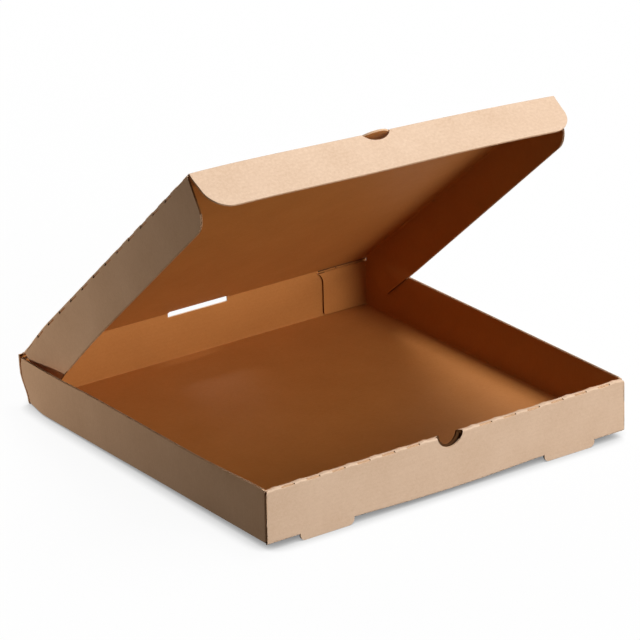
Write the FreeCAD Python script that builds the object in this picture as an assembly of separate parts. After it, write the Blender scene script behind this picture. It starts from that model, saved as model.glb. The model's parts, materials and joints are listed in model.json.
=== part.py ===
# Die-cut corrugated pizza box, open, in millimetres.
# One blank is folded into a shallow tray with a double, rolled-over front wall,
# and a lid that turns on the crease along the back wall's top.
# The lid's side flaps and front flap tuck inside the tray when it is shut.
# Origin: centre of the tray's underside. +X right, +Y back, +Z up.

import FreeCAD, Part
import math
import os

os.makedirs("parts", exist_ok=True)

V = FreeCAD.Vector

# Board and tray
board = 1.5              # thickness of the corrugated board
tray_width = 330.0       # across the front, outside
tray_depth = 330.0       # front to back, outside
wall_height = 42.0       # underside of the tray to the top of its walls
bend_inside = 0.5        # inside radius of a plain fold
layer_play = 0.125       # air between two boards folded against each other
fold_play = 0.3          # air at a crease that moves
cut_gap = 0.7            # air between a cut edge and the board it stands over

# Lid and its flaps
lid_play = 0.5           # air between the lid's side flaps and the side walls
lid_reach = 321.6        # hinge crease to front crease
lid_open_deg = 40.5      # lid's angle above shut, at rest
front_flap_height = 34.0
front_flap_lean_deg = 17.0    # how far the front flap leans out past square, at rest
front_flap_corner = 20.0
front_flap_taper = 1.5   # how far each end slopes in towards its corner
front_flap_inset = 1.2   # lid's side edge to the front flap's end
side_flap_height = 38.4  # lid's top face to the flap's lower edge, shut
side_flap_corner = 16.0
side_flap_taper = 3.0
side_flap_front = 2.0    # front crease to the side flap's front end
side_flap_rear = 5.0     # hinge crease to the side flap's rear end

# Cut creases: short cuts with bridges of uncut board between them
crease_pitch = 22.4
crease_cut = 11.6        # length of one cut
crease_depth = 1.0       # how far a cut opens into each board
first_cut = 33.4         # middle of the front wall to the first cut's middle

# Thumb notch, lid tab and hinge slot
notch_radius = 12.0
notch_depth = 10.0
tab_width = 23.0
tab_reach = 5.5
slot_length = 57.0
slot_half = 3.8          # slot's share of the back wall, and of the lid

# Lock tongues under the front wall, and the inner wall's tabs in their slots
tongue_length = 48.0
tongue_drop = 4.8
tongue_corner = 4.5
tongue_centre = 112.0
lock_slot_depth = 5.2
lock_tab_length = 42.0

# Corner flaps
front_corner_flap = 70.0
rear_corner_flap = 44.0
rear_flap_top_drop = 3.0      # hinge line to the rear corner flap's top edge
rear_horn_reach = 5.0
rear_horn_height = 9.0
rear_foot_corner = 3.0
wall_corner = 2.5        # rounding of the front wall's upper corners
cutter_margin = 2.0      # how far a cutting solid runs past what it cuts

# Worked out
half_width = tray_width / 2
half_depth = tray_depth / 2
bend_outside = bend_inside + board
inner_half_width = half_width - board
lid_half_width = inner_half_width - lid_play
front_gap = board + 2 * layer_play
front_wall_thickness = 2 * board + front_gap
front_inner_face = -half_depth + front_wall_thickness
hinge_y = half_depth - board / 2
hinge_z = wall_height - board / 2
crease_y = hinge_y - lid_reach          # front crease, lid shut
crease_edge = board / 2 + fold_play     # cut edge to the crease it faces
lid_under = wall_height - board
flap_pivot_x = lid_half_width - board
layer_face = half_depth - board - layer_play     # a corner flap's face, beside the wall it backs
flap_bottom = board + cut_gap


def arc(start, middle, end):
    return Part.Arc(start, middle, end).toShape()


def on_circle(centre, radius, degrees, first, second):
    turn = math.radians(degrees)
    return centre + first * (radius * math.cos(turn)) + second * (radius * math.sin(turn))


def outline(steps, first, second, origin=V(0, 0, 0)):
    # steps: ("line", a, b) or ("arc", a, b, radius, start angle, end angle),
    # where a and b are the end point, or the arc's centre.
    edges = []
    here = None
    for step in steps:
        if step[0] == "line":
            there = origin + first * step[1] + second * step[2]
            if here is not None and (there - here).Length > 1e-6:
                edges.append(Part.makeLine(here, there))
        else:
            centre = origin + first * step[1] + second * step[2]
            begin = on_circle(centre, step[3], step[4], first, second)
            halfway = on_circle(centre, step[3], (step[4] + step[5]) / 2, first, second)
            there = on_circle(centre, step[3], step[5], first, second)
            if here is not None and (begin - here).Length > 1e-6:
                edges.append(Part.makeLine(here, begin))
            edges.append(arc(begin, halfway, there))
        here = there
    opening = edges[0].Vertexes[0].Point
    if (opening - here).Length > 1e-6:
        edges.append(Part.makeLine(here, opening))
    return Part.Face(Part.Wire(edges))


def block(x0, x1, y0, y1, z0, z1):
    return Part.makeBox(x1 - x0, y1 - y0, z1 - z0, V(x0, y0, z0))


def join(shapes):
    whole = shapes[0]
    if len(shapes) > 1:
        whole = whole.multiFuse(shapes[1:])
    return whole.removeSplitter()


def mirrored(shape):
    return shape.mirror(V(0, 0, 0), V(1, 0, 0))


X, Y, Z = V(1, 0, 0), V(0, 1, 0), V(0, 0, 1)


def cut_centres(reach, start):
    # middles of a crease's cuts, the same on both sides of its middle
    centres = []
    place = start
    while place + crease_cut / 2 < reach:
        centres += [-place, place]
        place += crease_pitch
    return sorted(centres)


# Tray: base and side walls, one channel section run front to back
def base_and_sides():
    bend_x = half_width - bend_outside
    bend_z = bend_outside
    section = outline([
        ("line", -half_width, wall_height),
        ("arc", -bend_x, bend_z, bend_outside, 180, 270),
        ("arc", bend_x, bend_z, bend_outside, 270, 360),
        ("line", half_width, wall_height),
        ("line", inner_half_width, wall_height),
        ("arc", bend_x, bend_z, bend_inside, 360, 270),
        ("arc", -bend_x, bend_z, bend_inside, 270, 180),
        ("line", -inner_half_width, wall_height),
    ], X, Z)
    walls_end = layer_face - bend_outside
    channel = section.copy()
    channel.translate(V(0, -walls_end, 0))
    channel = channel.extrude(V(0, 2 * walls_end, 0))
    base_end = half_depth - bend_outside
    base = block(-bend_x, bend_x, -base_end, base_end, 0, board)
    return [channel, base]


# Tray: the upright bend at the left end of the front or back, which carries a corner flap
def corner_bend(side, top):
    bend_y = side * (layer_face - bend_outside)
    sweep = (180, 180 + side * -90)
    bend = outline([
        ("arc", -half_width + bend_outside, bend_y, bend_outside, sweep[0], sweep[1]),
        ("arc", -half_width + bend_outside, bend_y, bend_inside, sweep[1], sweep[0]),
    ], X, Y, Z * flap_bottom)
    return bend.extrude(Z * (top - flap_bottom))


def front_corner_flaps():
    flap = block(-half_width + bend_outside, -half_width + front_corner_flap,
                 -layer_face, -layer_face + board, flap_bottom, lid_under - cut_gap)
    both = [corner_bend(-1, wall_height), flap]
    return both + [mirrored(piece) for piece in both]


# The rear flaps lie inside the back wall. The free end is hollowed by the round corner
# of the lid flap that was cut beside it, which leaves a pointed horn at the top.
def rear_corner_flaps():
    top = wall_height - rear_flap_top_drop
    end_x = -half_width + rear_corner_flap
    hollow = (rear_horn_reach ** 2 + rear_horn_height ** 2) / (2 * rear_horn_reach)
    sweep = math.degrees(math.acos((hollow - rear_horn_reach) / hollow))
    flap = outline([
        ("line", -half_width + bend_outside, flap_bottom),
        ("arc", end_x - rear_foot_corner, flap_bottom + rear_foot_corner, rear_foot_corner, 270, 360),
        ("arc", end_x + hollow, top - rear_horn_height, hollow, 180, 180 - sweep),
        ("line", -half_width + bend_outside, top),
    ], X, Z, Y * (layer_face - board))
    both = [corner_bend(1, top), flap.extrude(Y * board)]
    return both + [mirrored(piece) for piece in both]


# Tray: the front wall goes up, over the corner flaps and down again
def front_wall():
    bend_y = -half_depth + bend_outside
    inner_back = front_inner_face - board
    section = outline([
        ("arc", bend_y, bend_outside, bend_outside, 270, 180),
        ("arc", -half_depth + board, lid_under, board, 180, 90),
        ("arc", inner_back, lid_under, board, 90, 0),
        ("line", front_inner_face, board + cut_gap),
        ("line", inner_back, board + cut_gap),
        ("line", inner_back, lid_under),
        ("line", -half_depth + board, lid_under),
        ("arc", bend_y, bend_outside, bend_inside, 180, 270),
    ], Y, Z, X * -half_width)
    wall = section.extrude(X * tray_width)
    above = wall_height + cutter_margin
    # the rolled-over part stands between the side walls
    for side in (-1, 1):
        x_low, x_high = sorted((side * (inner_half_width - fold_play), side * (half_width + cutter_margin)))
        wall = wall.cut(block(x_low, x_high, -half_depth + board, front_inner_face + cutter_margin,
                              bend_outside + cut_gap, above))
        wall = wall.cut(block(x_low, x_high, bend_y, front_inner_face + cutter_margin,
                              -cutter_margin, above))
    # the outer part's upper corners are rounded
    for side in (-1, 1):
        centre = V(side * (half_width - wall_corner), -half_depth - cutter_margin, wall_height - wall_corner)
        depth = board + 2 * cutter_margin
        x_low, x_high = sorted((centre.x, centre.x + side * 2 * wall_corner))
        square = block(x_low, x_high, centre.y, centre.y + depth, centre.z, centre.z + 2 * wall_corner)
        wall = wall.cut(square.cut(Part.makeCylinder(wall_corner, depth, centre, Y)))
    # cuts of the rolled-over crease leave the outer part's edge square and lower there
    cuts = []
    for centre in cut_centres(inner_half_width, first_cut):
        cuts.append(block(centre - crease_cut / 2, centre + crease_cut / 2, -half_depth - cutter_margin,
                          -half_depth + board, wall_height - crease_depth, above))
    return wall.cut(cuts)


def tongue(centre):
    low = -tongue_drop
    half = tongue_length / 2
    tongue_top = bend_outside + board
    shape = outline([
        ("line", centre - half, tongue_top),
        ("arc", centre - half + tongue_corner, low + tongue_corner, tongue_corner, 180, 270),
        ("arc", centre + half - tongue_corner, low + tongue_corner, tongue_corner, 270, 360),
        ("line", centre + half, tongue_top),
    ], X, Z, Y * -half_depth)
    return shape.extrude(Y * board)


def lock_slot(centre):
    half = tongue_length / 2
    return block(centre - half, centre + half, -half_depth + board,
                 -half_depth + board + lock_slot_depth, -tongue_drop, bend_outside)


def lock_tab(centre):
    half = lock_tab_length / 2
    return block(centre - half, centre + half, front_inner_face - board, front_inner_face,
                 0, board + 2 * cut_gap)


def back_wall():
    bend_y = half_depth - bend_outside
    section = outline([
        ("arc", bend_y, bend_outside, bend_outside, 270, 360),
        ("arc", hinge_y, hinge_z, board / 2, 0, 180),
        ("arc", bend_y, bend_outside, bend_inside, 360, 270),
    ], Y, Z, X * -half_width)
    wall = section.extrude(X * tray_width)
    slot = block(-slot_length / 2, slot_length / 2, half_depth - 2 * board, half_depth + board,
                 hinge_z - slot_half, wall_height + cutter_margin)
    return wall.cut(slot)


def make_tray():
    centres = (-tongue_centre, tongue_centre)
    front = front_wall()
    front = front.cut([lock_slot(centre) for centre in centres])
    notch = Part.makeCylinder(notch_radius, 2 * front_wall_thickness,
                              V(0, -half_depth - board, wall_height - notch_depth + notch_radius), Y)
    front = front.cut(notch)
    channel, base = base_and_sides()
    base = base.cut([lock_slot(centre) for centre in centres])
    channel = channel.cut([lock_slot(centre) for centre in centres])
    pieces = [channel, base, front, back_wall()]
    pieces += front_corner_flaps() + rear_corner_flaps()
    pieces += [tongue(centre) for centre in centres]
    pieces += [lock_tab(centre) for centre in centres]
    return join(pieces)


# Lid panel, shut: its side edges are the round outsides of the flap folds
def make_lid():
    section = outline([
        ("line", -lid_half_width, lid_under),
        ("line", lid_half_width, lid_under),
        ("arc", flap_pivot_x, lid_under, board, 0, 90),
        ("arc", -flap_pivot_x, lid_under, board, 90, 180),
    ], X, Z, Y * (crease_y + crease_edge))
    panel = section.extrude(Y * (lid_reach - 2 * crease_edge))
    above = wall_height + cutter_margin
    slot = block(-slot_length / 2, slot_length / 2, hinge_y - slot_half, hinge_y, 0, above)
    panel = panel.cut(slot)
    cuts = []
    middle = (hinge_y + crease_y) / 2
    for place in cut_centres(lid_reach / 2 - crease_cut, crease_pitch / 2):
        for side in (-1, 1):
            x_low, x_high = sorted((side * (lid_half_width - crease_depth), side * half_width))
            cuts.append(block(x_low, x_high, middle + place - crease_cut / 2,
                              middle + place + crease_cut / 2, 0, above))
    panel = panel.cut(cuts)
    return join([panel, tab()])


# The tab stays in the lid's plane and is cut out of the front flap. Its end is one
# arc, which starts at the crease. The hole it leaves is wider by the play, and starts
# level with the lid's underside.
def tab_arc(play):
    radius = (tab_width ** 2 / 4 + tab_reach ** 2) / (2 * tab_reach)
    spread = math.degrees(math.acos((radius - tab_reach) / (radius + play)))
    return radius - tab_reach, radius + play, spread


def tab():
    beyond, radius, spread = tab_arc(0)
    face = outline([
        ("line", -tab_width / 2, crease_y + crease_edge),
        ("arc", 0, crease_y + beyond, radius, 270 - spread, 270 + spread),
        ("line", tab_width / 2, crease_y + crease_edge),
    ], X, Y, Z * lid_under)
    return face.extrude(Z * board)


def tab_hole():
    beyond, radius, spread = tab_arc(fold_play)
    half = radius * math.sin(math.radians(spread))
    face = outline([
        ("line", -half, wall_height + cutter_margin),
        ("arc", 0, lid_under + beyond, radius, 270 - spread, 270 + spread),
        ("line", half, wall_height + cutter_margin),
    ], X, Z, Y * (crease_y - board))
    return face.extrude(Y * (2 * board))


# Front flap, shut: it hangs square from the front crease
def make_front_flap():
    half = lid_half_width - front_flap_inset
    low = hinge_z - front_flap_height
    corner_x = half - front_flap_taper - front_flap_corner
    corner_z = low + front_flap_corner
    face = outline([
        ("line", -half, hinge_z),
        ("arc", -corner_x, corner_z, front_flap_corner, 180, 270),
        ("arc", corner_x, corner_z, front_flap_corner, 270, 360),
        ("line", half, hinge_z),
    ], X, Z, Y * (crease_y - board / 2))
    flap = face.extrude(Y * board)
    knuckle = Part.makeCylinder(board / 2, 2 * half, V(-half, crease_y, hinge_z), X)
    flap = join([flap, knuckle])
    return flap.cut(tab_hole())


# Side flap, shut: it hangs square from the lid's side edge, which is its pivot
def make_side_flap():
    top = lid_under - fold_play
    low = wall_height - side_flap_height
    front_y = crease_y + side_flap_front
    rear_y = hinge_y - side_flap_rear
    corner_y = front_y + side_flap_taper + side_flap_corner
    rear_round = side_flap_corner / 2
    face = outline([
        ("line", front_y, top),
        ("arc", corner_y, low + side_flap_corner, side_flap_corner, 180, 270),
        ("arc", rear_y - rear_round, low + rear_round, rear_round, 270, 360),
        ("line", rear_y, top),
    ], Y, Z, X * -lid_half_width)
    flap = face.extrude(X * board)
    cuts = []
    middle = (hinge_y + crease_y) / 2
    for place in cut_centres(lid_reach / 2 - crease_cut, crease_pitch / 2):
        cuts.append(block(-half_width, -flap_pivot_x + cutter_margin,
                          middle + place - crease_cut / 2, middle + place + crease_cut / 2,
                          top - crease_depth, wall_height))
    return flap.cut(cuts)


def opened(shape):
    shape.rotate(V(0, hinge_y, hinge_z), V(-1, 0, 0), lid_open_deg)
    return shape


def leaned(shape):
    shape.rotate(V(0, crease_y, hinge_z), V(-1, 0, 0), front_flap_lean_deg)
    return shape


left_flap = make_side_flap()
right_flap = mirrored(left_flap)

nodes = {
    "tray": make_tray(),
    "lid": opened(make_lid()),
    "lid_front_flap": opened(leaned(make_front_flap())),
    "lid_left_flap": opened(left_flap),
    "lid_right_flap": opened(right_flap),
}

for name, shape in nodes.items():
    if shape.ShapeType != "Solid" and len(shape.Solids) == 1:
        shape = shape.Solids[0]
    shape.exportStep("parts/" + name + ".step")
    box = shape.BoundBox
    print(name, len(shape.Solids), "solid, valid", shape.isValid(), "volume", round(shape.Volume),
          "box", [round(v, 2) for v in (box.XMin, box.XMax, box.YMin, box.YMax, box.ZMin, box.ZMax)])

opening = math.radians(lid_open_deg)
crease_rest = (hinge_y - lid_reach * math.cos(opening), hinge_z + lid_reach * math.sin(opening))
print("hinge y z", hinge_y, hinge_z, "front crease at rest y z", [round(v, 4) for v in crease_rest])
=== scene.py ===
import bpy, bmesh
import json, math
from mathutils import Matrix, Vector, noise
from mathutils.bvhtree import BVHTree


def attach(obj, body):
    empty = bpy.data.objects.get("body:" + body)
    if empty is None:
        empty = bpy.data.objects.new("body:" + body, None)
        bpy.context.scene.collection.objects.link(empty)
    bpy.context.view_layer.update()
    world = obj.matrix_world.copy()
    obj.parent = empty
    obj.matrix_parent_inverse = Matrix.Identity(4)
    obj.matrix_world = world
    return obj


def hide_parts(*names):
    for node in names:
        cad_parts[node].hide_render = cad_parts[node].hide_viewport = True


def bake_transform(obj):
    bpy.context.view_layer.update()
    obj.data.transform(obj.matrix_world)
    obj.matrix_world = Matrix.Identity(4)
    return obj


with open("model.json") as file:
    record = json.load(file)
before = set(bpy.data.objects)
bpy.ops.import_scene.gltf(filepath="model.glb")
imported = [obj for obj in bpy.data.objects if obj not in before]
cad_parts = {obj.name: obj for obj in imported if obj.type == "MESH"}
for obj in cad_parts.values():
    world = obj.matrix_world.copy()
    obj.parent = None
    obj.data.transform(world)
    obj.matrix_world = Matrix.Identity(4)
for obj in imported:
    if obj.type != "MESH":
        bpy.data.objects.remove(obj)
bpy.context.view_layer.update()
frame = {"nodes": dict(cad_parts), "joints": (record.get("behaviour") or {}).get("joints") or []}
nodes = frame["nodes"]
joints = {joint["name"]: joint for joint in frame["joints"]}
mm = 0.001
print("frame loaded:", ", ".join(sorted(nodes)))

# Sizes shared by every piece, in mm; those that the part has too are the same there
board = {
    "thick": 1.5,
    "flutePitch": 3.3,
    "linerThick": 0.17,
    "edgeProud": 0.7,      # height of the strips that a wavy cut edge is made of
    "edgeStep": 9.0,
    "skin": 0.02,          # a look into the board starts this far below its face
    "deep": 1.9,           # behind a cut edge the board goes on for longer than this
    "cutPitch": 22.4,      # cut creases: distance between cuts
    "cutLength": 11.6,
}
tray = {"half": 165.0, "height": 42.0}
lid = {"half": 163.0, "reach": 321.6, "under": 40.5, "openDegrees": 40.5, "leanDegrees": 17.0}
slotLength = 57.0
blankStart = 600.0         # the flat blank's place that distances on the lid are taken from

# Least share of a face's normal along an axis
facing = {"aLittle": 0.3, "slanting": 0.35, "partly": 0.5, "mostly": 0.7, "fully": 0.9, "straight": 0.985}
smoothDegrees = 35.0

alongX, alongY, alongZ = Vector((1, 0, 0)), Vector((0, 1, 0)), Vector((0, 0, 1))
hingePoint = Vector(joints["lid_hinge"]["pos_m"])
creasePoint = Vector((0, hingePoint.y - lid["reach"] * mm, hingePoint.z))
hingeY, creaseY = hingePoint.y / mm, hingePoint.y / mm - lid["reach"]
swing = Matrix.Rotation(math.radians(lid["openDegrees"]), 4, -alongX)
shutToRest = Matrix.Translation(hingePoint) @ swing @ Matrix.Translation(-hingePoint)
restToShut = shutToRest.inverted()


# Small helpers

def stepped(low, high, step):
    count = max(1, round((high - low) / step))
    return [low + (high - low) * i / count for i in range(count + 1)]


def between(value, limits):
    return limits[0] < value < limits[1]


def smoothStep(value, low, high):
    t = min(1.0, max(0.0, (value - low) / (high - low)))
    return t * t * (3 - 2 * t)


def fade(value, low, high):
    return 1 - smoothStep(value, low, high)


def wander(place, seed, size):
    # slow unevenness of real board, from -1 to 1
    return noise.noise(Vector((place.x / size + seed, place.y / size, place.z / size)))


def arcPoints(centre, radius, start, end, count):
    points = []
    for i in range(count + 1):
        turn = math.radians(start + (end - start) * i / count)
        points.append((centre[0] + radius * math.cos(turn), centre[1] + radius * math.sin(turn)))
    return points


def pointOn(centre, along, up, distance, rise):
    return tuple(c + a * distance + u * rise for c, a, u in zip(centre, along, up))


# Node trees

def newTree(name, treeKind, inputs, outputs):
    tree = bpy.data.node_groups.new(name, treeKind)
    for way, sockets in (("INPUT", inputs), ("OUTPUT", outputs)):
        for label, kind in sockets:
            tree.interface.new_socket(label, in_out=way, socket_type="NodeSocket" + kind)
    return tree, tree.nodes.new("NodeGroupInput"), tree.nodes.new("NodeGroupOutput")


def mathNode(tree, operation, first, second=None):
    node = tree.nodes.new("ShaderNodeMath")
    node.operation = operation
    for index, value in enumerate((first, second)):
        if isinstance(value, (int, float)):
            node.inputs[index].default_value = value
        elif value is not None:
            tree.links.new(value, node.inputs[index])
    return node.outputs[0]


def plus(tree, first, second):
    return mathNode(tree, "ADD", first, second)


def minus(tree, first, second):
    return mathNode(tree, "SUBTRACT", first, second)


def times(tree, first, second):
    return mathNode(tree, "MULTIPLY", first, second)


def noiseNode(tree, vector, scale, detail):
    node = tree.nodes.new("ShaderNodeTexNoise")
    tree.links.new(vector, node.inputs["Vector"])
    node.inputs["Scale"].default_value = scale
    node.inputs["Detail"].default_value = detail
    return node.outputs["Fac"]


def stretchedNoise(tree, vector, stretch, turn, detail):
    node = tree.nodes.new("ShaderNodeMapping")
    tree.links.new(vector, node.inputs["Vector"])
    node.inputs["Scale"].default_value = stretch
    node.inputs["Rotation"].default_value = (0, 0, turn)
    return noiseNode(tree, node.outputs[0], 1.0, detail)


def spread(tree, value, low, high, outLow=0.0, outHigh=1.0):
    node = tree.nodes.new("ShaderNodeMapRange")
    tree.links.new(value, node.inputs["Value"])
    limits = {"From Min": low, "From Max": high, "To Min": outLow, "To Max": outHigh}
    for label, number in limits.items():
        node.inputs[label].default_value = number
    return node.outputs["Result"]


# Kraft paper: pulp clouds, fibres lying mostly one way, dark and pale flecks
pulpLook = {
    "clouds": (28.0, 4.0),                          # noise scale and detail
    "mottle": (240.0, 3.0),
    "mottleTone": 0.6,
    "mottleHeight": 0.8,
    "lengthwise": ((420, 2600, 1), 0.15, 2.0),      # stretch of the noise, its turn and its detail
    "crosswise": ((2100, 520, 1), -0.25, 2.0),
    "darkFlecks": ((700, 1500, 1), 0.6, 1.0),
    "darkLimits": (0.70, 0.80),
    "paleFlecks": ((1300, 600, 1), 0.3, 1.0),
    "paleLimits": (0.71, 0.82),
    "paleShare": 0.7,
    "noiseMiddle": 0.5,
}


def makePulpGroup():
    look = pulpLook
    group, start, end = newTree("kraftPulp", "ShaderNodeTree", [("Place", "Vector")],
                                [("Tone", "Float"), ("Height", "Float")])
    place = start.outputs["Place"]
    clouds = minus(group, noiseNode(group, place, *look["clouds"]), look["noiseMiddle"])
    mottle = minus(group, noiseNode(group, place, *look["mottle"]), look["noiseMiddle"])
    lengthwise = stretchedNoise(group, place, *look["lengthwise"])
    crosswise = stretchedNoise(group, place, *look["crosswise"])
    fibres = minus(group, plus(group, lengthwise, crosswise), 2 * look["noiseMiddle"])
    dark = spread(group, stretchedNoise(group, place, *look["darkFlecks"]), *look["darkLimits"])
    pale = spread(group, stretchedNoise(group, place, *look["paleFlecks"]), *look["paleLimits"])
    flecks = minus(group, times(group, pale, look["paleShare"]), dark)
    tone = plus(group, clouds, times(group, mottle, look["mottleTone"]))
    tone = plus(group, plus(group, tone, fibres), flecks)
    group.links.new(tone, end.inputs["Tone"])
    height = plus(group, fibres, times(group, mottle, look["mottleHeight"]))
    group.links.new(height, end.inputs["Height"])
    return group


# Washboard: the liner dips a little between the flutes it is glued to
washLook = {
    "drift": (14.0, 1.0),          # noise scale and detail of the flutes' own drift
    "driftReach": 0.0016,
    "uneven": (55.0, 2.0),
    "unevenSpread": (0.35, 0.65, 0.5, 1.0),
}


def makeWashboardGroup():
    group, start, end = newTree("washboard", "ShaderNodeTree", [("Place", "Vector"), ("Pitch", "Float")],
                                [("Wave", "Float")])
    place = start.outputs["Place"]
    parts = group.nodes.new("ShaderNodeSeparateXYZ")
    group.links.new(place, parts.inputs[0])
    drift = times(group, noiseNode(group, place, *washLook["drift"]), washLook["driftReach"])
    turns = mathNode(group, "DIVIDE", plus(group, parts.outputs["Y"], drift), start.outputs["Pitch"])
    wave = mathNode(group, "COSINE", times(group, turns, 2 * math.pi))
    uneven = spread(group, noiseNode(group, place, *washLook["uneven"]), *washLook["unevenSpread"])
    group.links.new(times(group, wave, uneven), end.inputs["Wave"])
    return group


pulpGroup = makePulpGroup()
washboardGroup = makeWashboardGroup()

# What all papers share
paper = {
    "darkShift": (0.72, 0.62, 0.52),
    "paleShift": (1.20, 1.24, 1.30),
    "rubAndHighlightNoise": (420.0, 3.0),
    "rubAndHighlightLimits": (0.42, 0.62),
    "roughTone": -0.08,
    "glossTint": (1.0, 0.88, 0.70, 1),
    "pulpHeight": 0.00004,
    "washHeight": 0.000016,
}
papers = {
    "kraftOutside": {
        "colour": (0.715, 0.530, 0.384), "contrast": 0.62, "wave": 0.05, "bump": 0.55,
        "rough": 0.70, "gloss": 0.12, "foldPale": 0.35,
    },
    "kraftInside": {
        "colour": (0.47, 0.184, 0.042), "contrast": 0.62, "wave": 0.06, "bump": 0.55,
        "rough": 0.62, "gloss": 0.4, "foldPale": 0.35,
    },
    "kraftCutEdge": {
        "colour": (0.66, 0.45, 0.29), "contrast": 0.9, "wave": 0.0, "bump": 0.8,
        "rough": 0.92, "gloss": 0.1, "foldPale": 0.0,
    },
    # painted shade: a dark brown that stands for the shade in flute hollows and gaps
    "paintedShade": {
        "colour": (0.10, 0.045, 0.018), "contrast": 0.6, "wave": 0.0, "bump": 0.6,
        "rough": 0.95, "gloss": 0.0, "foldPale": 0.0,
    },
}
outsideFace, insideFace, cutFace, paintedShadeFace = range(len(papers))


def shiftColour(tree, colour, tone, amount):
    # darker and redder below nought, paler above it
    mix = tree.nodes.new("ShaderNodeMix")
    mix.data_type = "RGBA"
    for socket, shift in (("A", paper["darkShift"]), ("B", paper["paleShift"])):
        shade = [min(1.0, channel * share) for channel, share in zip(colour, shift)]
        mix.inputs[socket].default_value = (*shade, 1)
    tree.links.new(spread(tree, tone, -amount, amount), mix.inputs["Factor"])
    return mix.outputs["Result"]


def groupNode(tree, group, place):
    node = tree.nodes.new("ShaderNodeGroup")
    node.node_tree = group
    tree.links.new(place, node.inputs["Place"])
    return node


def kraftMaterial(name, look):
    material = bpy.data.materials.new(name)
    material.use_nodes = True
    tree = material.node_tree
    surface = tree.nodes["Principled BSDF"]
    blankMap = tree.nodes.new("ShaderNodeUVMap")
    blankMap.uv_map = "blank"
    place = blankMap.outputs[0]
    pulp = groupNode(tree, pulpGroup, place)
    wash = groupNode(tree, washboardGroup, place)
    wash.inputs["Pitch"].default_value = board["flutePitch"] * mm
    # folds are worn a little paler, and unevenly; the paleness is partly a painted highlight along the folds
    fold = tree.nodes.new("ShaderNodeAttribute")
    fold.attribute_name = "fold"
    patches = noiseNode(tree, place, *paper["rubAndHighlightNoise"])
    patches = spread(tree, patches, *paper["rubAndHighlightLimits"], 0.0, look["foldPale"])
    rubbedAndHighlit = times(tree, fold.outputs["Fac"], patches)
    tone = plus(tree, pulp.outputs["Tone"], times(tree, wash.outputs["Wave"], look["wave"]))
    colour = shiftColour(tree, look["colour"], plus(tree, tone, rubbedAndHighlit), 1.0 / look["contrast"])
    tree.links.new(colour, surface.inputs["Base Color"])
    rough = plus(tree, times(tree, pulp.outputs["Tone"], paper["roughTone"]), look["rough"])
    tree.links.new(rough, surface.inputs["Roughness"])
    surface.inputs["Specular IOR Level"].default_value = look["gloss"]
    surface.inputs["Specular Tint"].default_value = paper["glossTint"]
    height = plus(tree, times(tree, pulp.outputs["Height"], paper["pulpHeight"]),
                  times(tree, wash.outputs["Wave"], paper["washHeight"]))
    relief = tree.nodes.new("ShaderNodeBump")
    relief.inputs["Strength"].default_value = look["bump"]
    relief.inputs["Distance"].default_value = 1.0
    tree.links.new(height, relief.inputs["Height"])
    tree.links.new(relief.outputs[0], surface.inputs["Normal"])
    return material


boardMaterials = [kraftMaterial(name, look) for name, look in papers.items()]
print("materials made")


# Cut edge of corrugated board: two liners with the wavy medium between them.
# The path lies in the XZ plane, and the flutes are counted along X
stepsPerFlute = 10.0


def makeFluteTree():
    sizes = [(name, "Float") for name in ("Pitch", "Board", "Liner", "Proud")]
    tree, start, end = newTree("fluteEdge", "GeometryNodeTree", [("Geometry", "Geometry")] + sizes,
                               [("Geometry", "Geometry")])
    curve = tree.nodes.new("GeometryNodeMeshToCurve")
    tree.links.new(start.outputs["Geometry"], curve.inputs[0])
    resample = tree.nodes.new("GeometryNodeResampleCurve")
    resample.mode = "LENGTH"
    tree.links.new(curve.outputs[0], resample.inputs["Curve"])
    length = mathNode(tree, "DIVIDE", start.outputs["Pitch"], stepsPerFlute)
    tree.links.new(length, resample.inputs["Length"])
    position = tree.nodes.new("GeometryNodeInputPosition")
    parts = tree.nodes.new("ShaderNodeSeparateXYZ")
    tree.links.new(position.outputs[0], parts.inputs[0])
    turns = mathNode(tree, "DIVIDE", parts.outputs["X"], start.outputs["Pitch"])
    wave = mathNode(tree, "SINE", times(tree, turns, 2 * math.pi))
    half = mathNode(tree, "DIVIDE", start.outputs["Board"], 2.0)
    linerPlace = minus(tree, half, mathNode(tree, "DIVIDE", start.outputs["Liner"], 2.0))
    reach = minus(tree, linerPlace, start.outputs["Liner"])
    profile = tree.nodes.new("GeometryNodeCurvePrimitiveQuadrilateral")
    tree.links.new(start.outputs["Liner"], profile.inputs["Width"])
    tree.links.new(start.outputs["Proud"], profile.inputs["Height"])
    together = tree.nodes.new("GeometryNodeJoinGeometry")
    for offset in (times(tree, wave, reach), linerPlace, times(tree, linerPlace, -1.0)):
        vector = tree.nodes.new("ShaderNodeCombineXYZ")
        tree.links.new(offset, vector.inputs["Y"])
        move = tree.nodes.new("GeometryNodeSetPosition")
        tree.links.new(resample.outputs[0], move.inputs["Geometry"])
        tree.links.new(vector.outputs[0], move.inputs["Offset"])
        upright = tree.nodes.new("GeometryNodeSetCurveNormal")
        upright.mode = "Z_UP"
        tree.links.new(move.outputs[0], upright.inputs["Curve"])
        sweep = tree.nodes.new("GeometryNodeCurveToMesh")
        sweep.inputs["Fill Caps"].default_value = True
        tree.links.new(upright.outputs[0], sweep.inputs["Curve"])
        tree.links.new(profile.outputs[0], sweep.inputs["Profile Curve"])
        tree.links.new(sweep.outputs[0], together.inputs[0])
    tree.links.new(together.outputs[0], end.inputs[0])
    return tree


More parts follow.
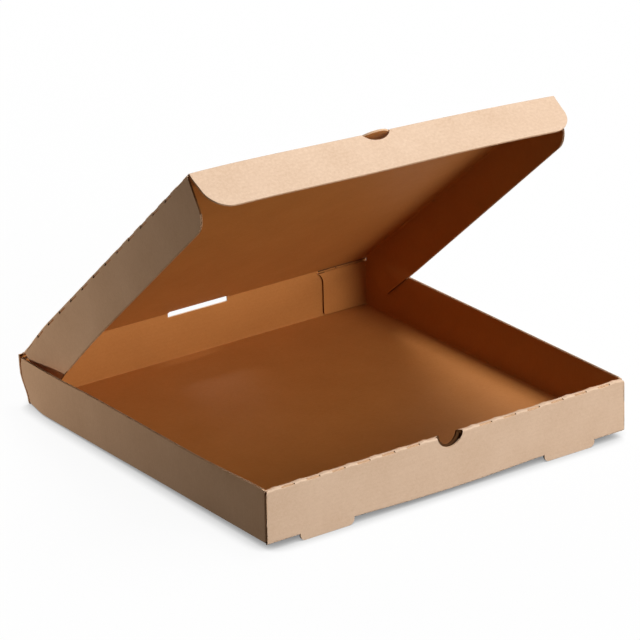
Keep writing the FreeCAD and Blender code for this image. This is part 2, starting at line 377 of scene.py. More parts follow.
# One bridge of uncut board, placed between the cuts of a crease
def makeBridgeTree():
    tree, start, end = newTree("foldBridges", "GeometryNodeTree",
                               [("Geometry", "Geometry"), ("Bridge", "Object")], [("Geometry", "Geometry")])
    info = tree.nodes.new("GeometryNodeObjectInfo")
    tree.links.new(start.outputs["Bridge"], info.inputs["Object"])
    copies = tree.nodes.new("GeometryNodeInstanceOnPoints")
    tree.links.new(start.outputs["Geometry"], copies.inputs["Points"])
    tree.links.new(info.outputs["Geometry"], copies.inputs["Instance"])
    realize = tree.nodes.new("GeometryNodeRealizeInstances")
    tree.links.new(copies.outputs[0], realize.inputs[0])
    tree.links.new(realize.outputs[0], end.inputs[0])
    return tree


fluteTree = makeFluteTree()
bridgeTree = makeBridgeTree()


def looseObject(name, verts, edges=(), faces=()):
    mesh = bpy.data.meshes.new(name)
    mesh.from_pydata([tuple(vert) for vert in verts], list(edges), list(faces))
    thing = bpy.data.objects.new(name, mesh)
    bpy.context.scene.collection.objects.link(thing)
    return thing


def runTree(source, tree, values):
    modifier = source.modifiers.new("shape", "NODES")
    modifier.node_group = tree
    for item in tree.interface.items_tree:
        if item.in_out == "INPUT" and item.name in values:
            modifier[item.identifier] = values[item.name]
    bpy.context.view_layer.update()
    evaluated = source.evaluated_get(bpy.context.evaluated_depsgraph_get())
    mesh = bpy.data.meshes.new_from_object(evaluated)
    source.modifiers.remove(modifier)
    bpy.data.objects.remove(source)
    return mesh


# path: (distance across the flutes, height) points in mm; matrix puts X, Y, Z of the
# canonical edge along the edge, through the board and out of the edge
def fluteEdge(path, matrix):
    links = [(i, i + 1) for i in range(len(path) - 1)]
    source = looseObject("flutePath", [(along * mm, 0, height * mm) for along, height in path], links)
    mesh = runTree(source, fluteTree, {
        "Pitch": board["flutePitch"] * mm, "Board": board["thick"] * mm,
        "Liner": board["linerThick"] * mm, "Proud": board["edgeProud"] * mm,
    })
    mesh.transform(matrix)
    return mesh


def straightEdge(low, high, matrix):
    return fluteEdge([(along, 0.0) for along in stepped(low, high, board["edgeStep"])], matrix)


def axesMatrix(along, through, outward, origin):
    matrix = Matrix.Identity(4)
    for column, vector in enumerate((along, through, outward)):
        for row in range(3):
            matrix[row][column] = vector[row]
    matrix.translation = Vector(origin) * mm
    return matrix


# Board pieces

def weldedCopy(nodeName, toWork):
    bm = bmesh.new()
    bm.from_mesh(nodes[nodeName].data)
    bm.transform(toWork)
    bmesh.ops.remove_doubles(bm, verts=bm.verts[:], dist=1e-6)
    bmesh.ops.dissolve_degenerate(bm, edges=bm.edges[:], dist=1e-7)
    bm.normal_update()
    return bm


def sliceBoard(bm, axis, places):
    for place in places:
        geometry = bm.verts[:] + bm.edges[:] + bm.faces[:]
        bmesh.ops.bisect_plane(bm, geom=geometry, dist=1e-8, plane_co=axis * (place * mm), plane_no=axis)


# Which face is paper and which is a cut edge, and which cut edge is painted dark as shade: behind a cut edge
# the board is deep
def paintFaces(bm, isOutside, isFold, isPaintedShade):
    solid = BVHTree.FromBMesh(bm)
    for face in bm.faces:
        centre, normal = face.calc_center_median(), face.normal
        place = centre / mm
        hit = solid.ray_cast(centre - normal * board["skin"] * mm, -normal)
        deep = hit[0] is None or hit[3] > board["deep"] * mm
        if deep and not isFold(place):
            face.material_index = paintedShadeFace if isPaintedShade(place, normal) else cutFace
        else:
            face.material_index = outsideFace if isOutside(place, normal) else insideFace


def nowhere(place, normal):
    return False


def addMesh(bm, mesh, materialIndex):
    before = len(bm.faces)
    bm.from_mesh(mesh)
    bm.faces.ensure_lookup_table()
    for face in bm.faces[before:]:
        face.material_index = materialIndex
        face.smooth = False
    bpy.data.meshes.remove(mesh)


# blankPlace gives a point's place on the flat blank, in metres: along the flutes, across them
def finishBoard(name, bm, blankPlace, warp, toRest, bends=False):
    uvLayer = bm.loops.layers.uv.new("blank")
    foldLayer = bm.verts.layers.float.new("fold")
    bm.normal_update()
    for face in bm.faces:
        straight = max(abs(part) for part in face.normal) > facing["straight"]
        for loop in face.loops:
            loop[uvLayer].uv = blankPlace(loop.vert.co / mm, face.normal)
            if not straight and face.material_index in (outsideFace, insideFace):
                loop.vert[foldLayer] = 1.0
        face.smooth = True
    limit = math.radians(smoothDegrees)
    for edge in bm.edges:
        onePaper = len({face.material_index for face in edge.link_faces}) == 1
        edge.smooth = len(edge.link_faces) == 2 and onePaper and edge.calc_face_angle(math.pi) < limit
    for vert in bm.verts:
        vert.co = warp(vert.co / mm) * mm
    bm.transform(toRest)
    mesh = bpy.data.meshes.new(name)
    bm.to_mesh(mesh)
    bm.free()
    for material in boardMaterials:
        mesh.materials.append(material)
    piece = bpy.data.objects.new(name, mesh)
    bpy.context.scene.collection.objects.link(piece)
    # a piece with bends set carries no modifier
    if not bends:
        even = piece.modifiers.new("evenShading", "WEIGHTED_NORMAL")
        even.keep_sharp = True
    return piece


# Paper round a fold: a closed bar with the given outline, run from low to high.
# toPoint turns a point of the outline and a place along the bar into X, Y, Z
def foldBar(outline, low, high, toPoint, step):
    places = stepped(low, high, step)
    count = len(outline)
    verts = [Vector(toPoint(a, b, place)) * mm for place in places for a, b in outline]
    faces = [tuple(range(count))[::-1], tuple(range((len(places) - 1) * count, len(places) * count))]
    for row in range(len(places) - 1):
        for i in range(count):
            j = (i + 1) % count
            faces.append((row * count + i, row * count + j, (row + 1) * count + j, (row + 1) * count + i))
    thing = looseObject("foldBar", verts, (), faces)
    bm = bmesh.new()
    bm.from_mesh(thing.data)
    bmesh.ops.recalc_face_normals(bm, faces=bm.faces[:])
    bm.to_mesh(thing.data)
    bm.free()
    return thing


def addFoldBar(target, materialIndex, *barValues):
    bar = foldBar(*barValues)
    mesh = bar.data.copy()
    bpy.data.objects.remove(bar)
    addMesh(target, mesh, materialIndex)


def alongTheBox(a, b, place):
    return (place, a, b)


# Tray

trayShape = {
    "sag": 2.0,                  # middle of the front edge, below the base's plane
    "sagHalfWidth": 86.0,
    "sagPower": 1.3,
    "sagAlong": (-165, -120),    # full at the front, gone at the second place
    "sagUp": (0, 34),
    "leftWall": (-165, -150),
    "rearLean": 1.2,             # left wall's top at the rear leans out
    "rearLeanLength": 70.0,
    "leftBow": 3.4,              # left wall's top bows out between its corners
    "bowStart": (-163, -80),
    "bowEnd": (90, 163),
    "leftDip": 2.6,              # left wall's top is worn lower towards the rear
    "dipStart": (40, 150),
    "rearFoot": 4.4,             # rear left foot is rounded in
    "rearFootHeight": 30.0,
    "footAlong": (132, 165),
    "footAcross": (-165, -125),
    "footForward": 0.5,          # it goes this share forwards of what it goes sideways
    "footForwardAlong": (150, 165),
    "innerNotch": 0.71,          # the inner board's notch, as a share of the outer board's
    "notchCentre": 44,
    "notchRim": (12.2, 16),
    "notchLift": 0.3,
    "dome": 0.7,                 # rise of the rolled-over board between two cuts
    "domeStart": 20,
    "domeEnd": (155, 163),
    "cutEase": 0.5,
    "firstCut": 33.4,
    "uneven": 0.35,
    "unevenSize": 70.0,
    "unevenSeeds": (3.1, 8.4, 5.7),
    "unevenShares": (0.8, 0.5, 0.6),
    "unevenWalls": ((150, 165), (158, 165)),
    "unevenFoot": (2, 20),
    "unevenBase": (2, 4),
}

# Where the tray's parts lie, in mm, so that its faces can be told apart
trayZone = {
    "cavity": Vector((0, 0, 20)),
    "rolledOver": (-162.0, -159.5),      # y of the inner front board
    "rolledOverEnd": 163.3,
    "rolledOverFoot": 2.1,
    "rollTop": 40,
    "backWall": 163.3,
    "backWallBoard": (163.3, 163.9),
    "backFold": 40.3,
    "cornerFold": 164.5,
    "sideWall": 163.4,
    "sideTop": 41.9,
    "sideAlong": (-159, 161.5),
    "frontWall": -163.4,
    "rearFlapFace": 161,
    "rearFlapTop": (38.8, 39.2),
    "rearFlapBoard": (161.8, 163.4),
    "rearFlapEnd": 122,
    "rearFlapAround": (161.4, 163.45),
    "rearFlapReach": 118,
    "overRearFlap": (121, 39),           # least x and z of the back wall's strip over a flap
    "notchSides": 13,
    "notchFoot": 27,
    "notchBoards": (-163.6, -159),
    "innerNotchSides": 15,
    "innerNotchFoot": 31,
    "innerNotchBoard": (-162, -159),
}

# Where the tray's mesh is cut finer, so that it can bend
traySlices = {
    "step": 9.0,
    "margin": 3.0,
    "frontMargin": 4.0,                  # further in at the front, where the boards are doubled
    "heights": (3.0, 5.5, 8, 11, 14, 20, 26, 32, 37.5, 40.4),
    "bridges": 7,
    "inBridge": (-3.2, 0.0, 3.2),
    "inNotch": (6.0, 10.0, 13.0),
}

# Wavy cut edges that show on the tray
trayEdges = {
    "sideAlong": (-159.4, 161.2),
    "rearFlap": (162.625, 39.0),         # its y and its height
    "rearFlapAcross": (-163.0, -122.6),
    "frontEndIn": 0.3,
    "frontEndUp": (3.2, 39.2),
}


def trayOutside(place, normal):
    zone = trayZone
    towardCavity = normal.dot(zone["cavity"] - place) > 0
    rolledOver = between(place.y, zone["rolledOver"]) and abs(place.x) < zone["rolledOverEnd"]
    # the rolled-over board shows its outside in the tray
    if rolledOver and place.z > zone["rolledOverFoot"]:
        return towardCavity
    return not towardCavity


def trayFold(place):
    onFold = place.z > trayZone["backFold"] or abs(place.x) > trayZone["cornerFold"]
    return place.y > trayZone["backWall"] and onFold


# Painted shade: the side walls' top cut edges under the flute strips, the front wall's ends, and the rear
# corner flaps' top and end are painted dark
def trayPaintedShade(place, normal):
    zone = trayZone
    across = abs(place.x)
    sideTop = across > zone["sideWall"] and place.z > zone["sideTop"] and between(place.y, zone["sideAlong"])
    frontEnd = abs(normal.x) > facing["mostly"] and place.y < zone["frontWall"]
    atFlapTop = between(place.z, zone["rearFlapTop"]) and place.y > zone["rearFlapFace"]
    atFlapEnd = between(place.y, zone["rearFlapBoard"]) and across < zone["rearFlapEnd"]
    flapTop = normal.z > facing["fully"] and atFlapTop
    flapEnd = abs(normal.x) > facing["partly"] and atFlapEnd
    return sideTop or frontEnd or flapTop or flapEnd


# Painted shade: the boards where the notch shows them, and the back wall's strip over the corner flaps, lie
# in shade and are painted dark
def notchAndStripPaintedShade(place, normal):
    zone = trayZone
    leastX, leastZ = zone["overRearFlap"]
    facesFront = normal.y < -facing["mostly"]
    inNotch = abs(place.x) < zone["notchSides"] and place.z > zone["notchFoot"]
    inNotch = inNotch and between(place.y, zone["notchBoards"])
    overFlap = abs(place.x) > leastX and place.z > leastZ and between(place.y, zone["backWallBoard"])
    return (inNotch and (facesFront or abs(normal.y) < facing["aLittle"])) or (overFlap and facesFront)


def trayBlank(place, normal):
    half = tray["half"]
    if abs(normal.z) > facing["mostly"]:
        return (place.x * mm, place.y * mm)
    if between(place.y, trayZone["rearFlapAround"]) and abs(place.x) > trayZone["rearFlapReach"]:
        return ((half + place.z) * mm, (2 * half - abs(place.x)) * mm)
    if abs(normal.x) > facing["mostly"]:
        return (math.copysign(half + place.z, place.x) * mm, place.y * mm)
    return (place.x * mm, math.copysign(half + place.z, place.y) * mm)


def trayWarp(place):
    x, y, z = place
    shape, zone = trayShape, trayZone
    tall = max(0.0, place.z / tray["height"])
    # the base sags at the middle of the front edge
    middle = max(0.0, math.cos(min(1.0, abs(x) / shape["sagHalfWidth"]) * math.pi / 2)) ** shape["sagPower"]
    z -= shape["sag"] * middle * fade(y, *shape["sagAlong"]) * fade(z, *shape["sagUp"])
    # the left wall leans out at the rear, bows out, and is worn lower
    leftWall = fade(x, *shape["leftWall"])
    rear = smoothStep(y, tray["half"] - shape["rearLeanLength"], tray["half"])
    x -= shape["rearLean"] * rear * leftWall * tall
    if y < zone["backWall"]:
        bow = smoothStep(y, *shape["bowStart"]) * fade(y, *shape["bowEnd"])
        x -= shape["leftBow"] * bow * leftWall * tall
        z -= shape["leftDip"] * smoothStep(y, *shape["dipStart"]) * leftWall * tall
    # the rear left foot is rounded
    foot = fade(place.z, 0, shape["rearFootHeight"]) * smoothStep(y, *shape["footAlong"])
    foot = foot * fade(x, *shape["footAcross"])
    x += shape["rearFoot"] * foot
    y -= shape["rearFoot"] * shape["footForward"] * foot * smoothStep(y, *shape["footForwardAlong"])
    # the inner board's notch is smaller
    inNotch = abs(x) < zone["innerNotchSides"] and place.z > zone["innerNotchFoot"]
    if inNotch and between(place.y, zone["innerNotchBoard"]):
        inward = fade(math.hypot(x, place.z - shape["notchCentre"]), *shape["notchRim"])
        smaller = 1 - shape["innerNotch"]
        x *= 1 - smaller * inward
        z += smaller * shape["notchLift"] * (shape["notchCentre"] - place.z) * inward
    # the rolled-over board domes between its cuts
    if y < zone["rolledOver"][1] and place.z > zone["rollTop"]:
        half = board["cutPitch"] / 2
        fromCut = abs((abs(x) - shape["firstCut"] + half) % board["cutPitch"] - half)
        dome = smoothStep(fromCut, board["cutLength"] / 2 - shape["cutEase"], half)
        z += shape["dome"] * dome * (abs(x) > shape["domeStart"]) * fade(abs(x), *shape["domeEnd"])
    # slow unevenness of the side walls, of the front and back walls, and of the base
    amounts = [wander(place, seed, shape["unevenSize"]) * shape["uneven"] for seed in shape["unevenSeeds"]]
    risen = smoothStep(place.z, *shape["unevenFoot"])
    sideWalls, endWalls = shape["unevenWalls"]
    x += amounts[0] * smoothStep(abs(place.x), *sideWalls) * risen * shape["unevenShares"][0]
    y += amounts[1] * smoothStep(abs(place.y), *endWalls) * risen * shape["unevenShares"][1]
    z += amounts[2] * fade(place.z, *shape["unevenBase"]) * shape["unevenShares"][2]
    return Vector((x, y, z))


def sliceTray(bm):
    cuts, pitch = traySlices, board["cutPitch"]
    edge = tray["half"] - cuts["margin"]
    sliceBoard(bm, alongX, stepped(-edge, edge, cuts["step"]))
    sliceBoard(bm, alongY, stepped(-edge + cuts["frontMargin"], edge, cuts["step"]))
    sliceBoard(bm, alongZ, cuts["heights"])
    centres = [trayShape["firstCut"] + pitch * (k - 0.5) for k in range(cuts["bridges"])]
    places = [centre + step for centre in centres for step in cuts["inBridge"]]
    places += cuts["inNotch"]
    sliceBoard(bm, alongX, [side * place for place in places if place < edge for side in (-1, 1)])


def addTrayEdges(bm):
    edges = trayEdges
    midWall = tray["half"] - board["thick"] / 2
    for side in (-1, 1):
        sideTop = axesMatrix((0, side, 0), (-side, 0, 0), alongZ, (side * midWall, 0, tray["height"]))
        low, high = sorted(side * end for end in edges["sideAlong"])
        addMesh(bm, straightEdge(low, high, sideTop), cutFace)
        rearFlap = axesMatrix((-side, 0, 0), (0, -side, 0), alongZ, (0, *edges["rearFlap"]))
        addMesh(bm, straightEdge(*edges["rearFlapAcross"], rearFlap), insideFace)
        endPlace = (side * (tray["half"] - edges["frontEndIn"]), -midWall, 0)
        frontEnd = axesMatrix(alongZ, alongY, (side, 0, 0), endPlace)
        addMesh(bm, straightEdge(*edges["frontEndUp"], frontEnd), cutFace)


def makeTray():
    bm = weldedCopy("tray", Matrix.Identity(4))
    sliceTray(bm)
    paintFaces(bm, trayOutside, trayFold, trayPaintedShade)
    # places in shade take the painted shade colour
    for face in bm.faces:
        if notchAndStripPaintedShade(face.calc_center_median() / mm, face.normal):
            face.material_index = paintedShadeFace
    addTrayEdges(bm)
    piece = finishBoard("tray_board", bm, trayBlank, trayWarp, Matrix.Identity(4))
    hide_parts("tray")
    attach(piece, "tray")


makeTray()
print("tray made")


# Lid: worked on as if shut, then swung open

lidShape = {
    "twist": 5.6,            # rise of the front left corner, and fall of the front right one
    "twistEnd": 1.05,
    "bow": 2.6,              # rise of the front edge's middle
    "bowAcross": 2.2,
    "bowAlong": 1.6,
    "leftRise": 2.6,         # rise all along the left side, but not at the hinge
    "leftRiseStart": 0.16,
    "uneven": 0.4,
    "unevenSize": 90.0,
    "unevenSeed": 1.7,
    "unevenAlong": (-150, -100),
    "foldWidth": 1.2,
    "margins": (2.5, 2.0),   # from the sides and from the ends to the first slices
    "step": 8.0,
}


def lidRise(x, y):
    shape = lidShape
    reach = max(0.0, (hingeY - y) / lid["reach"])
    across = max(-1.0, min(1.0, x / lid["half"]))
    rise = -shape["twist"] * across * min(reach, shape["twistEnd"])
    rise += shape["bow"] * (1 - abs(across) ** shape["bowAcross"]) * min(reach, 1.0) ** shape["bowAlong"]
    rise += shape["leftRise"] * smoothStep(-across, 0, 1) * smoothStep(reach, 0, shape["leftRiseStart"])
    return rise


def lidWarp(place):
    shape = lidShape
    uneven = wander(place, shape["unevenSeed"], shape["unevenSize"]) * shape["uneven"]
    rise = lidRise(place.x, place.y) + uneven * smoothStep(-place.y, *shape["unevenAlong"])
    return Vector((place.x, place.y, place.z + rise))


def lidBlank(place, normal):
    if abs(normal.x) > facing["mostly"]:
        down = lid["half"] + tray["height"] - place.z
        return (math.copysign(down, place.x) * mm, (blankStart - place.y) * mm)
    return (place.x * mm, (blankStart - place.y) * mm)


def lidOutside(place, normal):
    return normal.z > -facing["partly"]


def lidFold(place):
    return abs(place.x) > lid["half"] - lidShape["foldWidth"]


def makeLid():
    bm = weldedCopy("lid", restToShut)
    paintFaces(bm, lidOutside, lidFold, nowhere)
    fromSide, fromEnd = lidShape["margins"]
    sliceBoard(bm, alongX, stepped(-lid["half"] + fromSide, lid["half"] - fromSide, lidShape["step"]))
    sliceBoard(bm, alongY, stepped(creaseY + fromEnd, hingeY - fromEnd, lidShape["step"]))
    piece = finishBoard("lid_board", bm, lidBlank, lidWarp, shutToRest)
    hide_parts("lid")
    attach(piece, "lid")


makeLid()
print("lid made")


# Side flaps: the paper runs round the fold between the cuts, and inside it all along

sideFold = {
    "centre": (161.5, 40.5),
    "outer": 1.62,
    "inner": 1.28,
    "onLid": [(160.3, 41.93), (160.9, 42.10)],
    "onFlap": [(163.10, 39.6), (162.93, 38.7), (162.75, 39.6)],
    "inside": [(160.0, 40.58), (160.9, 40.44), (161.28, 40.25), (161.42, 39.9), (161.44, 38.6),
               (161.6, 37.9), (161.8, 38.6), (161.8, 40.3), (161.3, 40.75)],
    "insideMargin": 0.5,
    "frontEnd": 2.0,         # front crease to the flap's end
    "rearEnd": 5.0,
    "endMargin": 8.0,        # least uncut board at each end
    "leastBar": 1.0,
    "bridgeStep": 4.0,
    "barStep": 9.0,
    "top": 0.3,              # the flap's own top lies this far below the lid's underside
    "topEase": 0.01,
    "height": 38.4,
    "corner": 16.0,
    "cornerStart": 205,
    "taper": 3.0,
    "edgeEase": 6.0,
    "plainRear": 40.0,       # rear part of the lower edge, without flutes, painted dark as shade inside the tray
    "bend": (162, 41.0),     # a place on the fold, y and z in mm
    "bendDepth": 5.0,        # a depth below the fold, in mm
    "sliceMargin": 2.0,
    "sliceStep": 8.0,
    "slices": (6, 10, 15, 20, 25, 30, 34, 36, 37, 38, 39),
}
sideShape = {
    "rightSink": 1.1,        # most that the right flap's lower edge sinks
    "rearTuck": 5.5,         # left flap's lower rear corner leans in
    "tuckAlong": (40, 155),
    "drop": (0, 36),
    "uneven": 0.12,
    "unevenSize": 80.0,
    "unevenSeed": 6.3,
}


def sideFlapWarp(place):
    shape = sideShape
    rise = lidRise(place.x, place.y)
    drop = smoothStep(lid["under"] - place.z, *shape["drop"])
    if rise < 0:
        rise = rise * (1 - drop) + max(rise, -shape["rightSink"]) * drop
    inward = 0.0
    if place.x < 0:
        inward = shape["rearTuck"] * drop * smoothStep(place.y, *shape["tuckAlong"])
    uneven = wander(place, shape["unevenSeed"], shape["unevenSize"]) * shape["uneven"]
    return Vector((place.x + inward + uneven, place.y, place.z + rise))


def sideOutline():
    centre = sideFold["centre"]
    outline = sideFold["onLid"] + arcPoints(centre, sideFold["outer"], 90, 0, 8)
    return outline + sideFold["onFlap"] + arcPoints(centre, sideFold["inner"], 0, 90, 6)


# Bridges between the cuts, whole paper beyond the last cuts, and the paper inside
def addSideFold(bm, front, rear, toPoint):
    fold = sideFold
    middle = (hingeY + creaseY) / 2
    half = (board["cutPitch"] - board["cutLength"]) / 2
    count = int((lid["reach"] / 2 - fold["endMargin"]) / board["cutPitch"])
    centres = [middle + k * board["cutPitch"] for k in range(-count, count + 1)]
    outline = sideOutline()
    unit = foldBar(outline, -half, half, toPoint, fold["bridgeStep"])
    points = looseObject("bridgePoints", [(0, centre * mm, 0) for centre in centres])
    addMesh(bm, runTree(points, bridgeTree, {"Bridge": unit}), outsideFace)
    bpy.data.objects.remove(unit)
    firstCut = centres[0] - half - board["cutLength"]
    lastCut = centres[-1] + half + board["cutLength"]
    for low, high in ((front, firstCut), (lastCut, rear)):
        if high - low > fold["leastBar"]:
            addFoldBar(bm, outsideFace, outline, low, high, toPoint, fold["barStep"])
    low, high = front + fold["insideMargin"], rear - fold["insideMargin"]
    addFoldBar(bm, insideFace, fold["inside"], low, high, toPoint, fold["barStep"])


# Wavy cut edge along the bottom and round the front corner
def addFlapEdge(bm, side, front, rear):
    fold = sideFold
    low = tray["height"] - fold["height"]
    cornerY = front + fold["taper"] + fold["corner"]
    path = arcPoints((cornerY, low + fold["corner"]), fold["corner"], fold["cornerStart"], 270, 9)
    bottom = stepped(cornerY + fold["edgeEase"], rear - fold["plainRear"], board["edgeStep"])
    path += [(along, low) for along in bottom]
    place = (side * (lid["half"] - board["thick"] / 2), 0, 0)
    addMesh(bm, fluteEdge(path, axesMatrix(alongY, -alongX, alongZ, place)), cutFace)


def makeSideFlap(side):
    fold = sideFold
    name = "lid_left_flap" if side < 0 else "lid_right_flap"

    def flapOutside(place, normal):
        return normal.x * side > 0

    def flapFold(place):
        return place.z > lid["under"] - fold["top"] - fold["topEase"]

    # painted shade: cut edges that face down or forwards are painted dark
    def flapPaintedShade(place, normal):
        return normal.z < -facing["slanting"] or normal.y < -facing["slanting"]

    def toPoint(a, b, place):
        return (side * a, place, b)

    bm = weldedCopy(name, restToShut)
    paintFaces(bm, flapOutside, flapFold, flapPaintedShade)
    front, rear = creaseY + fold["frontEnd"], hingeY - fold["rearEnd"]
    margin = fold["sliceMargin"]
    sliceBoard(bm, alongY, stepped(front + margin, rear - margin, fold["sliceStep"]))
    sliceBoard(bm, alongZ, fold["slices"])
    addSideFold(bm, front, rear, toPoint)
    addFlapEdge(bm, side, front, rear)
    piece = finishBoard(name + "_board", bm, lidBlank, sideFlapWarp, shutToRest, bends=True)
    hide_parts(name)
    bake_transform(piece)


for side in (-1, 1):
    makeSideFlap(side)
print("side flaps made")


# Front flap: worked on square to the lid, then leaned

frontFold = {
    "outer": 0.87,
    "inner": 0.6,
    "onFlap": (1.2, 2.2),        # how far the paper runs down the flap: full, and at its tip
    "onLid": (1.6, 2.5),
    "tip": 0.7,
    "tabHalf": 13.2,
    "inset": 1.2,
    "foldReach": 0.8,
    "bendDepth": 6.0,
    "step": 8.0,
    "sliceMargin": 2.0,
    "slices": (10, 14, 18, 22, 26, 30, 34, 37, 39),
}
frontShape = {
    "lean": (-1.0, 5.0),         # extra lean at the left and right end, in degrees
    "leanAcross": (0.1, 1.0),
    "leftInset": 0.9,            # the left end lies this far in, to clear the front wall when shut
    "leftInsetDrop": (0.5, 5),
}


# Paper round the outside of the crease, from the lid's top to the flap's face
def frontOutline(centre):
    fold = frontFold
    outer, inner = fold["outer"], fold["inner"]
    lean = lid["leanDegrees"]
    turn = math.radians(lean)
    onLid = (centre, (math.cos(turn), math.sin(turn)), (-math.sin(turn), math.cos(turn)))
    flapFull, flapTip = fold["onFlap"]
    lidFull, lidTip = fold["onLid"]
    outline = arcPoints(centre, outer, 90 + lean, 180, 8)
    outline += [(centre[0] - outer, centre[1] - flapFull), (centre[0] - fold["tip"], centre[1] - flapTip)]
    outline += [(centre[0] - inner, centre[1] - flapFull)]
    outline += arcPoints(centre, inner, 180, 90 + lean, 6)
    outline += [pointOn(*onLid, lidFull, inner), pointOn(*onLid, lidTip, fold["tip"])]
    outline += [pointOn(*onLid, lidFull, outer)]
    return outline


def makeFrontFlap():
    fold, shape = frontFold, frontShape
    leaned = Matrix.Rotation(math.radians(lid["leanDegrees"]), 4, -alongX)
    squareToShut = Matrix.Translation(creasePoint) @ leaned @ Matrix.Translation(-creasePoint)
    shutToSquare = squareToShut.inverted()
    crease = creasePoint / mm

    def flapOutside(place, normal):
        return normal.y < facing["aLittle"]

    def flapFold(place):
        return math.hypot(place.y - crease.y, place.z - crease.z) < fold["foldReach"]

    def blank(place, normal):
        flat = shutToSquare @ (place * mm) / mm
        return (flat.x * mm, (blankStart - creaseY + tray["height"] - flat.z) * mm)

    def warp(place):
        flat = shutToSquare @ (place * mm) / mm
        drop = max(0.0, crease.z - flat.z)
        share = (place.x / lid["half"] + 1) / 2
        low, high = shape["lean"]
        extra = math.radians(low + (high - low) * smoothStep(share, *shape["leanAcross"]))
        out = squareToShut.to_3x3() @ -alongY
        rise = lidRise(place.x, max(place.y, crease.y))
        inset = shape["leftInset"] * (1 - share) ** 2 * smoothStep(drop, *shape["leftInsetDrop"])
        return place + Vector((0, 0, rise)) + out * (drop * math.sin(extra) - inset)

    bm = weldedCopy("lid_front_flap", shutToSquare @ restToShut)
    paintFaces(bm, flapOutside, flapFold, nowhere)
    half = lid["half"] - fold["inset"]
    sliceBoard(bm, alongX, stepped(-half + fold["sliceMargin"], half - fold["sliceMargin"], fold["step"]))
    sliceBoard(bm, alongZ, fold["slices"])
    outline = frontOutline((crease.y, crease.z))
    for low, high in ((-half, -fold["tabHalf"]), (fold["tabHalf"], half)):
        addFoldBar(bm, outsideFace, outline, low, high, alongTheBox, fold["step"])
    bm.transform(squareToShut)
    piece = finishBoard("lid_front_flap_board", bm, blank, warp, shutToRest, bends=True)
    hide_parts("lid_front_flap")
    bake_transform(piece)


makeFrontFlap()
print("front flap made")


# Hinge crease: paper from the back wall over the crease to the lid, along the outside

hingeFold = {
    "outer": 0.88,
    "inner": 0.6,
    "onWall": (1.2, 2.2),        # how far the paper runs down the wall: full, and at its tip
    "onLid": (1.5, 2.2),
    "tip": 0.7,
    "inset": 0.2,
    "step": 9.0,
}


def hingeBlank(place, normal):
    return (place.x * mm, (tray["half"] + place.z) * mm)


def asItIs(place):
    return place


def makeHingeFold():
    fold = hingeFold
    outer, inner = fold["outer"], fold["inner"]
    centre = (hingePoint.y / mm, hingePoint.z / mm)
    openTurn = math.radians(lid["openDegrees"])
    lidTurn = math.radians(180 - lid["openDegrees"])       # from the hinge along the lid, in the YZ plane
    onLid = (centre, (math.cos(lidTurn), math.sin(lidTurn)), (math.sin(openTurn), math.cos(openTurn)))
    wallFull, wallTip = fold["onWall"]
    lidFull, lidTip = fold["onLid"]
    arcEnd = 90 - lid["openDegrees"]
    outline = [(centre[0] + fold["tip"], centre[1] - wallTip), (centre[0] + outer, centre[1] - wallFull)]
    outline += arcPoints(centre, outer, 0, arcEnd, 5)
    outline += [pointOn(*onLid, lidFull, outer), pointOn(*onLid, lidTip, fold["tip"])]
    outline += [pointOn(*onLid, lidFull, inner)]
    outline += arcPoints(centre, inner, arcEnd, 0, 4)
    outline += [(centre[0] + inner, centre[1] - wallFull)]
    half = lid["half"] - fold["inset"]
    bm = bmesh.new()
    for low, high in ((-half, -slotLength / 2), (slotLength / 2, half)):
        addFoldBar(bm, outsideFace, outline, low, high, alongTheBox, fold["step"])
    piece = finishBoard("lid_hinge_crease", bm, hingeBlank, asItIs, Matrix.Identity(4), bends=True)
    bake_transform(piece)


makeHingeFold()
print("hinge crease made")


# Floor: it passes through the tips of the lock tongues and the rear edge of the base

studio = {
    "floorHalf": 8.0,
    "tongueDrop": 4.8,       # tongues' tips below the base, in mm
    "tongueToRear": 328.0,   # tongues' tips to the base's rear edge, in mm
    "rearEdge": 0.163,
    "floorGap": 0.0002,
    "floorColour": (0.15, 0.115, 0.08),
    "shadowColour": 0.85,
    "whiteShare": 0.945,
    "contact": 0.022,        # reach of the painted contact shadow, a dark line where the box meets the floor
    "contactLimits": (0.10, 0.75),
    "paintedShadowDark": 0.25,
    "air": (1.0, 0.985, 0.96),
    "world": 0.02,
}


# The camera, and what gloss shows, see the white studio; other light doesn't get it
def seenDirectly(tree):
    path = tree.nodes.new("ShaderNodeLightPath")
    seen = mathNode(tree, "MAXIMUM", path.outputs["Is Camera Ray"], path.outputs["Is Glossy Ray"])
    return mathNode(tree, "MAXIMUM", seen, path.outputs["Is Transmission Ray"])


def showMixed(tree, outputKind, plain, seen):
    mix = tree.nodes.new("ShaderNodeMixShader")
    tree.links.new(seenDirectly(tree), mix.inputs["Fac"])
    tree.links.new(plain.outputs[0], mix.inputs[1])
    tree.links.new(seen.outputs[0], mix.inputs[2])
    output = tree.nodes.new(outputKind)
    tree.links.new(mix.outputs[0], output.inputs["Surface"])


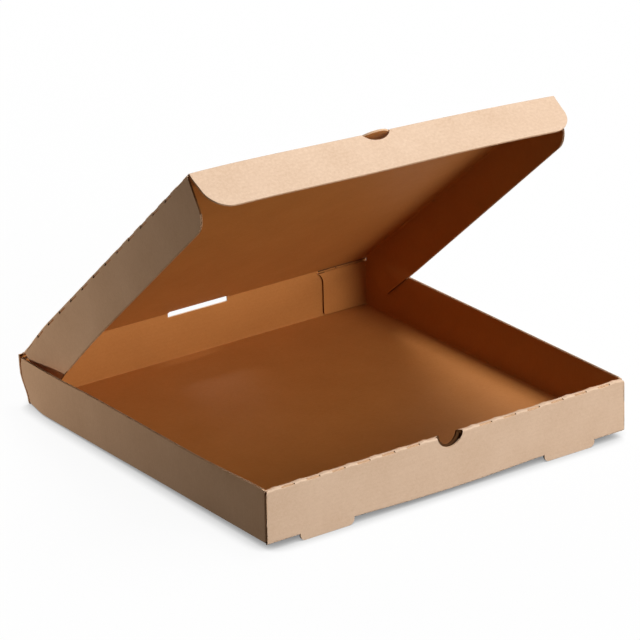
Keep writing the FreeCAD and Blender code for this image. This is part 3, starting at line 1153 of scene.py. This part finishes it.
def makeFloor():
    slope = math.atan2(studio["tongueDrop"], studio["tongueToRear"])
    half = studio["floorHalf"]
    verts = []
    for x, y in ((-half, -half), (half, -half), (half, half), (-half, half)):
        verts.append((x, y, -math.tan(slope) * (studio["rearEdge"] - y) - studio["floorGap"]))
    floor = looseObject("floor", verts, (), [(0, 1, 2, 3)])
    material = bpy.data.materials.new("floorPaper")
    material.use_nodes = True
    tree = material.node_tree
    tree.nodes.clear()
    plain = tree.nodes.new("ShaderNodeBsdfDiffuse")
    plain.inputs["Color"].default_value = (*studio["floorColour"], 1)
    # seen directly, most of the floor is plain white and the rest takes the shadow
    faint = tree.nodes.new("ShaderNodeBsdfDiffuse")
    share = studio["shadowColour"] * (1 - studio["whiteShare"])
    faint.inputs["Color"].default_value = (share, share, share, 1)
    # painted contact shadow: ambient occlusion dims the floor's white glow near the box
    near = tree.nodes.new("ShaderNodeAmbientOcclusion")
    near.inputs["Distance"].default_value = studio["contact"]
    strength = spread(tree, near.outputs["AO"], *studio["contactLimits"], studio["paintedShadowDark"],
                      studio["whiteShare"])
    glow = tree.nodes.new("ShaderNodeEmission")
    tree.links.new(strength, glow.inputs["Strength"])
    both = tree.nodes.new("ShaderNodeAddShader")
    tree.links.new(faint.outputs[0], both.inputs[0])
    tree.links.new(glow.outputs[0], both.inputs[1])
    showMixed(tree, "ShaderNodeOutputMaterial", plain, both)
    floor.data.materials.append(material)


def makeWorld():
    world = bpy.data.worlds.new("studioAir")
    world.use_nodes = True
    bpy.context.scene.world = world
    tree = world.node_tree
    tree.nodes.clear()
    air = tree.nodes.new("ShaderNodeBackground")
    air.inputs["Color"].default_value = (*studio["air"], 1)
    air.inputs["Strength"].default_value = studio["world"]
    white = tree.nodes.new("ShaderNodeBackground")
    white.inputs["Color"].default_value = (1, 1, 1, 1)
    showMixed(tree, "ShaderNodeOutputWorld", air, white)


lamps = {
    "keyLamp": {"place": (0.8, -2.95, 1.38), "size": (1.2, 1.2), "power": 59.0},
    "frontLamp": {"place": (0.25, -2.5, 2.35), "size": (1.0, 1.0), "power": 13.0},
    "faceLamp": {"place": (0.65, -1.7, 0.14), "size": (0.6, 0.2), "power": 7.5, "target": (0, 0, 0.12)},
    "topLamp": {"place": (1.1, 0.2, 3.2), "size": (1.4, 1.4), "power": 76.0},
    "lowLamp": {"place": (-0.50, 0.40, 0.028), "size": (0.30, 0.03), "power": 0.9,
                "colour": (1.0, 0.83, 0.67), "target": (-0.16, 0.1, 0.03)},
    "backLamp": {"place": (0.6, 3.0, 1.3), "size": (1.4, 1.4), "power": 48.0},
}


def makeLamp(name, place, size, power, colour=(1, 1, 1), target=(0, 0, 0.08)):
    lamp = bpy.data.lights.new(name, "AREA")
    lamp.energy = power
    lamp.color = colour
    lamp.shape = "RECTANGLE"
    lamp.size, lamp.size_y = size
    thing = bpy.data.objects.new(name, lamp)
    bpy.context.scene.collection.objects.link(thing)
    thing.visible_camera = False
    thing.location = place
    thing.rotation_mode = "QUATERNION"
    thing.rotation_quaternion = (Vector(target) - Vector(place)).to_track_quat("-Z", "Y")


makeFloor()
makeWorld()
for name, lamp in lamps.items():
    makeLamp(name, **lamp)
print("floor and lights made")


# Camera, from the photograph's corners
view = {
    "place": (-1.76241, -2.49262, 1.31901),
    "right": (0.81099594, -0.58466755, -0.02120021),
    "up": (0.23588819, 0.29361176, 0.92636326),
    "forward": (0.53538991, 0.75627772, -0.37603412),
    "focalLength": 4346,     # in the photograph's pixels
    "photoWidth": 640,
    "sensorWidth": 36,
    "clip": (0.1, 100),
}


def makeCamera():
    data = bpy.data.cameras.new("photoCamera")
    data.lens = view["focalLength"] / view["photoWidth"] * view["sensorWidth"]
    data.sensor_width = view["sensorWidth"]
    data.clip_start, data.clip_end = view["clip"]
    camera = bpy.data.objects.new("photoCamera", data)
    bpy.context.scene.collection.objects.link(camera)
    turn = Matrix((view["right"], view["up"], [-v for v in view["forward"]])).transposed()
    camera.rotation_mode = "QUATERNION"
    camera.rotation_quaternion = turn.to_quaternion()
    camera.location = view["place"]
    bpy.context.scene.camera = camera


makeCamera()
bpy.context.scene.view_settings.view_transform = "Standard"
